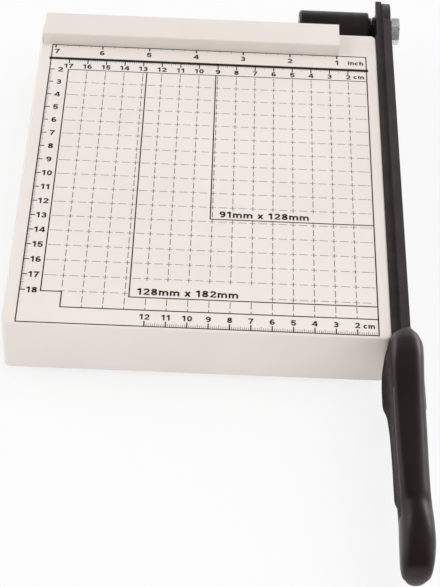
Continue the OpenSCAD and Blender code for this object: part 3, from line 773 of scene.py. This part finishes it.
# Handle: a smooth skin on the solid's stations, with a finer top line and a sharper left shoulder. Each
# station: share of the length from the nose, top, bottom, half widths of walls and lip, squareness of the
# floor, shift to the right of the arm's middle, squareness of the crown's right and left shoulders
GUARD, GRIP_W, BULB = 21.0 / 2, 14.9 / 2, 15.4 / 2
STATIONS = [
    (0.0, 6.8, -2.0, 2.8, 2.8, 3.0, 0.0, 2.3, 2.3),
    (0.013, 7.7, -5.0, 4.4, 5.2, 3.0, -0.2, 2.3, 2.3),
    (0.032, 8.7, -11.0, 6.9, 8.6, 3.5, -0.5, 2.3, 2.5),
    (0.074, 9.8, -16.5, GRIP_W + 0.9, GUARD - 0.9, 4.0, -0.5, 2.6, 3.2),
    (0.125, 10.0, -18.5, GRIP_W + 0.7, GUARD - 0.2, 5.0, -0.4, 2.9, 4.2),
    (0.188, 9.6, -19.0, GRIP_W + 0.4, GUARD, 5.0, -0.4, 3.0, 6.0),
    (0.246, 8.8, -18.5, GRIP_W + 0.2, GUARD, 5.0, -0.4, 3.0, 6.5),
    (0.285, 8.2, -17.5, GRIP_W + 0.1, GUARD - 1.1, 5.0, -0.3, 2.8, 6.5),
    (0.316, 7.7, -16.0, GRIP_W + 0.1, GRIP_W + 1.5, 5.0, -0.25, 2.6, 6.0),
    (0.426, 6.2, -14.5, GRIP_W + 0.1, GRIP_W + 0.8, 5.0, -0.2, 2.4, 4.8),
    (0.551, 5.2, -14.0, GRIP_W - 0.1, GRIP_W + 0.6, 5.0, -0.1, 2.3, 4.0),
    (0.685, 4.7, -14.0, GRIP_W - 0.3, GRIP_W + 0.7, 4.5, 0.1, 2.3, 3.6),
    (0.712, 4.65, -14.1, GRIP_W - 0.3, GRIP_W - 0.2, 4.0, 0.2, 2.2, 3.2),
    (0.75, 4.6, -14.6, GRIP_W - 0.1, GRIP_W - 0.1, 3.2, 0.35, 1.7, 1.9),
    (0.809, 4.6, -16.8, BULB - 0.1, BULB - 0.4, 2.6, 0.6, 2.0, 2.0),
    (0.879, 4.2, -18.7, BULB, BULB - 1.6, 2.3, 0.6, 2.5, 2.5),
    (0.938, 2.7, -19.0, BULB - 0.3, BULB - 1.7, 2.3, 0.3, 2.5, 2.5),
    (0.98, -1.2, -17.4, BULB - 1.2, BULB - 2.2, 2.3, 0.1, 2.3, 2.3),
    (0.994, -4.1, -15.4, 4.9, 4.6, 2.2, 0.0, 2.2, 2.2),
    (1.0, -7.2, -12.6, 2.4, 2.2, 2.1, 0.0, 2.1, 2.1),
]
LAST = len(STATIONS) - 1
# Share of the height that the crown takes, and where on the floor's curve the lip starts and is full
SHOULDER, LIP_FROM, LIP_TO = 0.38, -0.40, -0.68
RINGS, AROUND = 160, 72
# The dull walls: from this face of each ring, counted round from the right, a little higher on the guard,
# which ends at one share of the length; the walls end at another
WALLS_FROM, GUARD_WALLS_FROM, GUARD_END, WALLS_END = 32, 29, 0.28, 0.79
arm_low, arm_high = node_box("knife_arm")


def rise(k, i):
    """Slope of one value between two stations."""
    a, b = STATIONS[k], STATIONS[k + 1]
    return (b[i] - a[i]) / (b[0] - a[0])


def slope(k, i):
    """Slope at a station, small enough that the curve never overshoots."""
    if k in (0, LAST):
        return rise(min(k, LAST - 1), i)
    before, after = rise(k - 1, i), rise(k, i)
    return 2 * before * after / (before + after) if before * after > 0 else 0.0


def eased(share):
    """Station values at a share of the length, by a smooth curve through the stations."""
    k = next(i for i in range(LAST) if share <= STATIONS[i + 1][0])
    a, b = STATIONS[k], STATIONS[k + 1]
    span = b[0] - a[0]
    t = (share - a[0]) / span
    return [
        (2 * t**3 - 3 * t**2 + 1) * a[i] + (3 * t**2 - 2 * t**3) * b[i]
        + span * ((t**3 - 2 * t**2 + t) * slope(k, i) + (t**3 - t**2) * slope(k + 1, i))
        for i in range(1, len(a))]


def power(value, exponent):
    """A power that keeps the value's sign."""
    return math.copysign(abs(value) ** exponent, value)


def handle_ring(share, nose, length):
    """One closed section of the grip: a round crown, walls, and a floor with a lip."""
    top, bottom, wall, lip, floor, shift, right, left = eased(share)
    middle = (arm_low.x + arm_high.x) / 2 + shift
    level = top - SHOULDER * (top - bottom)
    ring = []
    for k in range(AROUND):
        a = math.tau * k / AROUND
        bend = floor if math.sin(a) < 0 else right if math.cos(a) > 0 else left
        side, up = power(math.cos(a), 2 / bend), power(math.sin(a), 2 / bend)
        out = min(max((LIP_FROM - up) / (LIP_FROM - LIP_TO), 0.0), 1.0)
        out = out * out * (3 - 2 * out)
        height = level + up * ((top - level) if up > 0 else (level - bottom))
        ring.append(spot(middle + side * (wall + (lip - wall) * out), nose - share * length, height))
    return ring


def grip_skin():
    """The outside of the moulded handle, polished on the crown and dull on the walls."""
    low, high = node_box("handle")
    shares = [(1 - math.cos(math.pi * i / RINGS)) / 2 for i in range(RINGS + 1)]
    points, faces = [], []
    for share in shares:
        points += handle_ring(share, high.y, high.y - low.y)
    for i in range(RINGS):
        for k in range(AROUND):
            a, b = i * AROUND + k, i * AROUND + (k + 1) % AROUND
            faces.append((a, b, b + AROUND, a + AROUND))
    faces.append(tuple(range(AROUND - 1, -1, -1)))
    faces.append(tuple(RINGS * AROUND + k for k in range(AROUND)))
    skin = new_mesh("grip_skin", points, faces, GRIP)
    skin.data.materials.append(GRIP_WALLS)
    for face in skin.data.polygons[:RINGS * AROUND]:
        share = shares[face.index // AROUND]
        first = GUARD_WALLS_FROM if share < GUARD_END else WALLS_FROM
        face.material_index = int(face.index % AROUND >= first and share < WALLS_END)
    return skin


# Room round the arm and the board, and the arm's end and tang inside the handle
SLIP, GAP, FRONT_GAP, REST, ROOM = 0.1, 0.15, 1.0, 0.3, 40.0
ARM_TOP, ARM_END = 5.0, -BOARD_FRONT - SLIP
TANG_TOP, TANG_HIGH, TANG_LONG = 1.5, 10.5, 84.0
# Heads of pan-head screws as shares of the thread: width and height
HEAD_SPREAD, HEAD_RISE = 1.9, 0.65
# The handle's screws: thread, places along the tang, height, and the plastic under their heads
GRIP_SCREW_D, GRIP_WALL, WELL_DEEP = 3.5, 2.0, 20.0
GRIP_SCREW_YS = ARM_END - TANG_LONG / 4, ARM_END - TANG_LONG * 3 / 4
GRIP_SCREW_Z = TANG_TOP - TANG_HIGH / 2
WELL_R = GRIP_SCREW_D * HEAD_SPREAD / 2 + GAP
# Edges sharper than this stay sharp, in degrees
SHARP_EDGE, WIRE_EDGE = 40.0, 60.0


def block(name, low, high):
    """A cutter between two corners."""
    return new_mesh(name, *box_parts(spot(*low), spot(*high)), GRIP)


def handle():
    """The grip, cut for the board's front edge, the arm's end, the tang and its screws."""
    inner, outer = arm_low.x - GAP, arm_high.x + GAP
    cutters = [
        block("board_room", (-ROOM, -BOARD_FRONT - FRONT_GAP, -ROOM), (ROOM, 0.0, REST)),
        block("arm_slot", (inner, ARM_END - GAP, -ROOM), (outer, 0.0, ARM_TOP + GAP)),
        block("tang_pocket", (inner, ARM_END - TANG_LONG - GAP, TANG_TOP - TANG_HIGH - GAP),
              (outer, ARM_END + GAP, TANG_TOP + GAP)),
    ]
    well = [(0.0, 0.0), (0.0, WELL_R), (WELL_DEEP, WELL_R), (WELL_DEEP, 0.0)]
    for y in GRIP_SCREW_YS:
        base = spot(arm_high.x + GRIP_WALL, y, GRIP_SCREW_Z)
        cutters.append(turned("screw_well", well, base, (1, 0, 0), GRIP))
    grip = soften(cut(grip_skin(), "grip", cutters), SHARP_EDGE)
    stand_for(grip, "handle", "arm")


handle()


# Screws with cross recesses, in rows. The recess is given in shares of the thread.
RECESS_LONG, RECESS_WIDE, RECESS_DEEP = 1.05, 0.26, 0.42
SCREW_SIDES, END_CHAMFER = 32, 0.4
# Dome of a pan head: share of its height from the top, share of its radius
PAN_DOME = [(0.0, 0.62), (0.12, 0.80), (0.40, 0.94), (0.75, 1.0), (1.0, 1.0)]
# Countersunk heads: width as a share of the thread, and the size of the broken edge inwards and down
SUNK_SPREAD, SUNK_EDGE_IN, SUNK_EDGE_DOWN = 2.0, 0.1, 0.15
BED_SCREW_D, BED_SCREWS = 4.0, 4
STOP_SCREW_D, STOP_SCREWS = 3.0, 3


def cross_cutters(face, axis, thread):
    """Two crossed bars at a screw's head, sunk along its axis."""
    axis = Vector(axis)
    side = Vector((0, 1, 0))
    other = axis.cross(side)
    bars = []
    for a, b in ((side, other), (other, side)):
        reach = a * RECESS_LONG * thread / 2 + b * RECESS_WIDE * thread / 2 + axis * RECESS_DEEP * thread
        corners = [face + reach * MM, face - reach * MM]
        low = [min(p[k] for p in corners) for k in range(3)]
        high = [max(p[k] for p in corners) for k in range(3)]
        bars.append(new_mesh("recess", *box_parts(low, high), ZINC))
    return bars


def screw_row(name, node, body, profile, face, axis, thread, count, step):
    """A row of turned screws that stands for a node; the profile runs from the head's face inwards."""
    one = turned("screw", profile, face, tuple(-v for v in axis), ZINC, SCREW_SIDES)
    one = cut(one, "screw", cross_cutters(face, axis, thread))
    row = FASTENERS.run(name, Fastener=one, Count=count, Step=tuple(step * MM), Finish=ZINC)
    bpy.data.objects.remove(one)
    stand_for(soften(row, SHARP_EDGE), node, body)


def shank(thread, start, length):
    """Profile of a screw's shank from its head to its chamfered end."""
    r = thread / 2
    return [(start, r), (length - END_CHAMFER, r), (length, r - END_CHAMFER), (length, 0.0)]


def pan_head(thread, length):
    """Profile of a pan-head screw: distance from the head's face, radius."""
    r, high = thread * HEAD_SPREAD / 2, thread * HEAD_RISE
    dome = [(down * high, out * r) for down, out in PAN_DOME]
    return [(0.0, 0.0)] + dome + shank(thread, high, length)


def sunk_head(thread, length):
    """Profile of a countersunk screw: distance from the head's face, radius."""
    r = thread * SUNK_SPREAD / 2
    edge = [(0.0, r - SUNK_EDGE_IN), (SUNK_EDGE_DOWN, r)]
    return [(0.0, 0.0)] + edge + shank(thread, r - thread / 2, length)


def bed_screws():
    """Countersunk screws along the bed knife."""
    low, high = node_box("bed_knife_screws")
    head = high.z - low.z
    step = (high.y - low.y - head) / (BED_SCREWS - 1)
    face = spot(high.x, low.y + head / 2, (low.z + high.z) / 2)
    screw_row("bed_screw_row", "bed_knife_screws", "base", sunk_head(BED_SCREW_D, high.x - low.x),
              face, (1, 0, 0), BED_SCREW_D, BED_SCREWS, Vector((0.0, step, 0.0)))


def handle_screws():
    """The two pan-head screws in the handle's wells."""
    low, high = node_box("handle_screws")
    rear, front = GRIP_SCREW_YS
    screw_row("grip_screw_pair", "handle_screws", "arm", pan_head(GRIP_SCREW_D, high.x - low.x),
              spot(high.x, front, GRIP_SCREW_Z), (1, 0, 0), GRIP_SCREW_D, len(GRIP_SCREW_YS),
              Vector((0.0, rear - front, 0.0)))


def stop_screws():
    """Pan-head screws under the board, up into the stop's foot."""
    low, high = node_box("stop_screws")
    head = high.y - low.y
    step = (high.x - low.x - head) / (STOP_SCREWS - 1)
    face = spot(low.x + head / 2, (low.y + high.y) / 2, low.z)
    screw_row("stop_screw_row", "stop_screws", "base", pan_head(STOP_SCREW_D, high.z - low.z),
              face, (0, 0, -1), STOP_SCREW_D, STOP_SCREWS, Vector((step, 0.0, 0.0)))


bed_screws()
handle_screws()
stop_screws()


# Pivot spring: wire diameter, gap in its close end turns, turns, points in a turn and sides of the wire
WIRE, CLOSE_GAP, TURNS = 1.8, 0.6, 7
TURN_STEPS, WIRE_SIDES = 40, 14


def spring_tree():
    """A round wire wound along a spiral whose first and last turns lie close."""
    t = Tree("wound_wire", Turns="Float", Coil="Float", Wire="Float", Close="Float", Open="Float",
             Finish="Material")
    i = t.inputs
    spiral = t.add("GeometryNodeCurveSpiral", {
        "Resolution": TURN_STEPS, "Rotations": i["Turns"], "Height": i["Turns"],
        "Start Radius": i["Coil"], "End Radius": i["Coil"]})
    place = t.add("ShaderNodeSeparateXYZ", {0: t.add("GeometryNodeInputPosition").outputs[0]}).outputs
    turn = place["Z"]
    first = t.math("MINIMUM", turn, 1.0)
    last = t.math("MAXIMUM", t.math("SUBTRACT", turn, t.math("SUBTRACT", i["Turns"], 1.0)), 0.0)
    inner = t.math("SUBTRACT", t.math("SUBTRACT", turn, first), last)
    ends = t.math("MULTIPLY", t.math("ADD", first, last), i["Close"])
    along = t.math("ADD", ends, t.math("MULTIPLY", inner, i["Open"]))
    path = t.add("ShaderNodeCombineXYZ", {"X": place["X"], "Y": place["Y"], "Z": along}).outputs[0]
    moved = t.add("GeometryNodeSetPosition", {"Geometry": spiral.outputs[0], "Position": path})
    circle = t.add("GeometryNodeCurvePrimitiveCircle", {"Resolution": WIRE_SIDES, "Radius": i["Wire"]})
    wire = t.add("GeometryNodeCurveToMesh", {
        "Curve": moved.outputs[0], "Profile Curve": circle.outputs[0], "Fill Caps": True})
    return t.end(wire.outputs[0], i["Finish"])


def pivot_spring():
    """The spring in its cup, wound along x from the seat washer."""
    low, high = node_box("pivot_spring")
    centre = (low + high) / 2
    coil = (high.z - low.z - WIRE) / 2
    close = WIRE + CLOSE_GAP
    open_pitch = (high.x - low.x - WIRE - 2 * close) / (TURNS - 2)
    coils = spring_tree().run("spring_coils", Turns=float(TURNS), Coil=coil * MM, Wire=WIRE / 2 * MM,
                              Close=close * MM, Open=open_pitch * MM, Finish=SPRING_STEEL)
    turn = Matrix(((0, 0, -1), (1, 0, 0), (0, -1, 0))).to_4x4()
    coils.data.transform(Matrix.Translation(spot(high.x - WIRE / 2, centre.y, centre.z)) @ turn)
    stand_for(soften(coils, WIRE_EDGE), "pivot_spring", "arm")


pivot_spring()


# Camera at the photograph's place, worked out from the board's printed scale: its eye, its own right and
# its line of sight, then focal length and picture height in pixels, sensor in millimetres, range in metres
EYE, EYE_RIGHT, SIGHT = (-91.7, -740.3, 616.5), (0.9991, 0.0244, 0.0333), (0.0081, 0.6741, -0.7386)
FOCAL_PIXELS, PHOTO_HIGH, SENSOR = 1757.0, 587.0, 36.0
NEAREST, FARTHEST = 0.05, 50.0


def camera():
    """The camera that sees the cutter as the photograph does."""
    forward = Vector(SIGHT).normalized()
    right = Vector(EYE_RIGHT)
    right = (right - forward * right.dot(forward)).normalized()
    up = right.cross(forward)
    lens = bpy.data.cameras.new("photo_camera")
    lens.sensor_width = SENSOR
    lens.lens = FOCAL_PIXELS / PHOTO_HIGH * SENSOR
    lens.clip_start, lens.clip_end = NEAREST, FARTHEST
    scene.camera = new_object("photo_camera", lens)
    turn = Matrix((right, up, -forward)).transposed().to_4x4()
    scene.camera.matrix_world = Matrix.Translation(spot(*EYE)) @ turn


camera()


# Studio, in metres from the frame's origin: a white floor, a white tent and five soft lamps
FLOOR_TONE, FLOOR_DULL = (0.86, 0.86, 0.86, 1.0), 0.9
# Half the floor's side, where it turns from lit to plain white, and how plain it is near the cutter
FLOOR_HALF, FLOOR_NEAR, FLOOR_FAR, NEAR_GLOW = 8.0, 0.20, 0.80, 0.8
# Heights of direction where the tent turns from white to dark, rear and front, and how light the dark is
REAR_WHITE, FRONT_WHITE, DARK = (0.36, 0.74), (0.00, 0.14), 0.14
# Directions along y between which the front turns to the sides
FRONT_TO_SIDE = (-0.60, -0.15)
LAMP_AIM = Vector((0.0, 0.0, 0.02))


def seen_directly(tree):
    """1 for camera, mirror and see-through rays, which meet the background itself."""
    rays = add_node(tree, "ShaderNodeLightPath").outputs
    seen = rays["Is Camera Ray"]
    for kind in ("Is Glossy Ray", "Is Transmission Ray"):
        seen = add_node(tree, "ShaderNodeMath", {0: seen, 1: rays[kind]}, operation="MAXIMUM").outputs[0]
    return seen


def spread(tree, value, start, end, low, high):
    """A value mapped from one range to another, and held at its ends."""
    feeds = {"Value": value, "From Min": start, "From Max": end, "To Min": low, "To Max": high}
    return add_node(tree, "ShaderNodeMapRange", feeds, interpolation_type="SMOOTHSTEP").outputs["Result"]


def studio_floor():
    """A wide pale floor that keeps the cutter's shadow near it, and looks white further off."""
    f = Finish("studio_floor", Base_Color=FLOOR_TONE, Roughness=FLOOR_DULL, Specular_IOR_Level=0.0)
    far = f.add("ShaderNodeVectorMath", {0: f.place}, operation="LENGTH").outputs["Value"]
    glow = spread(f.tree, far, FLOOR_NEAR, FLOOR_FAR, NEAR_GLOW, 1.0)
    white = f.add("ShaderNodeEmission").outputs[0]
    share = f.math("MULTIPLY", glow, seen_directly(f.tree))
    both = f.add("ShaderNodeMixShader", {0: share, 1: f.shader.outputs[0], 2: white}).outputs[0]
    f.tree.links.new(both, f.tree.nodes["Material Output"].inputs["Surface"])
    half = FLOOR_HALF
    corners = [Vector((x, y, 0.0)) for x, y in ((-half, -half), (half, -half), (half, half), (-half, half))]
    new_mesh("studio_floor", corners, [(0, 1, 2, 3)], f.material)


def surroundings():
    """A white tent behind and beside the cutter, open and dark at the top and towards the camera."""
    scene.world = bpy.data.worlds.new("white_tent")
    scene.world.use_nodes = True
    tree = scene.world.node_tree
    background = tree.nodes["Background"]
    background.inputs["Color"].default_value = (1.0, 1.0, 1.0, 1.0)
    direction = add_node(tree, "ShaderNodeTexCoord").outputs["Generated"]
    axes = add_node(tree, "ShaderNodeSeparateXYZ", {0: direction}).outputs
    level = add_node(tree, "ShaderNodeMix", {
        "Factor": spread(tree, axes["Y"], *FRONT_TO_SIDE, 0.0, 1.0),
        "A": spread(tree, axes["Z"], *FRONT_WHITE, 1.0, DARK),
        "B": spread(tree, axes["Z"], *REAR_WHITE, 1.0, DARK)})
    tree.links.new(level.outputs["Result"], background.inputs["Strength"])


def lamp(name, place, size, watts, lights):
    """A soft lamp aimed at the cutter. It gives either matt light or gloss: so the broad lamps leave no
    hard bars in the black grip, and the strips don't wash out the paint."""
    data = bpy.data.lights.new(name, "AREA")
    data.shape = "RECTANGLE"
    data.size, data.size_y = size
    data.energy = watts
    obj = new_object(name, data)
    obj.location = place
    obj.rotation_euler = (LAMP_AIM - Vector(place)).to_track_quat("-Z", "Y").to_euler()
    obj.visible_glossy = lights == "gloss"
    obj.visible_diffuse = lights == "matt"


studio_floor()
surroundings()
lamp("right_softbox", place=(0.55, 0.10, 1.10), size=(1.7, 1.0), watts=11.5, lights="matt")
lamp("rear_right_strip", place=(1.00, 0.95, 0.22), size=(0.7, 0.4), watts=4.4, lights="gloss")
lamp("rear_left_strip", place=(-0.62, 0.95, 0.40), size=(0.6, 0.4), watts=2.2, lights="gloss")
lamp("left_softbox", place=(-0.95, 0.10, 0.65), size=(1.7, 0.9), watts=6.1, lights="matt")
lamp("front_fill", place=(0.0, -1.50, 0.45), size=(2.0, 0.4), watts=8.4, lights="matt")

scene.view_settings.view_transform = "Standard"
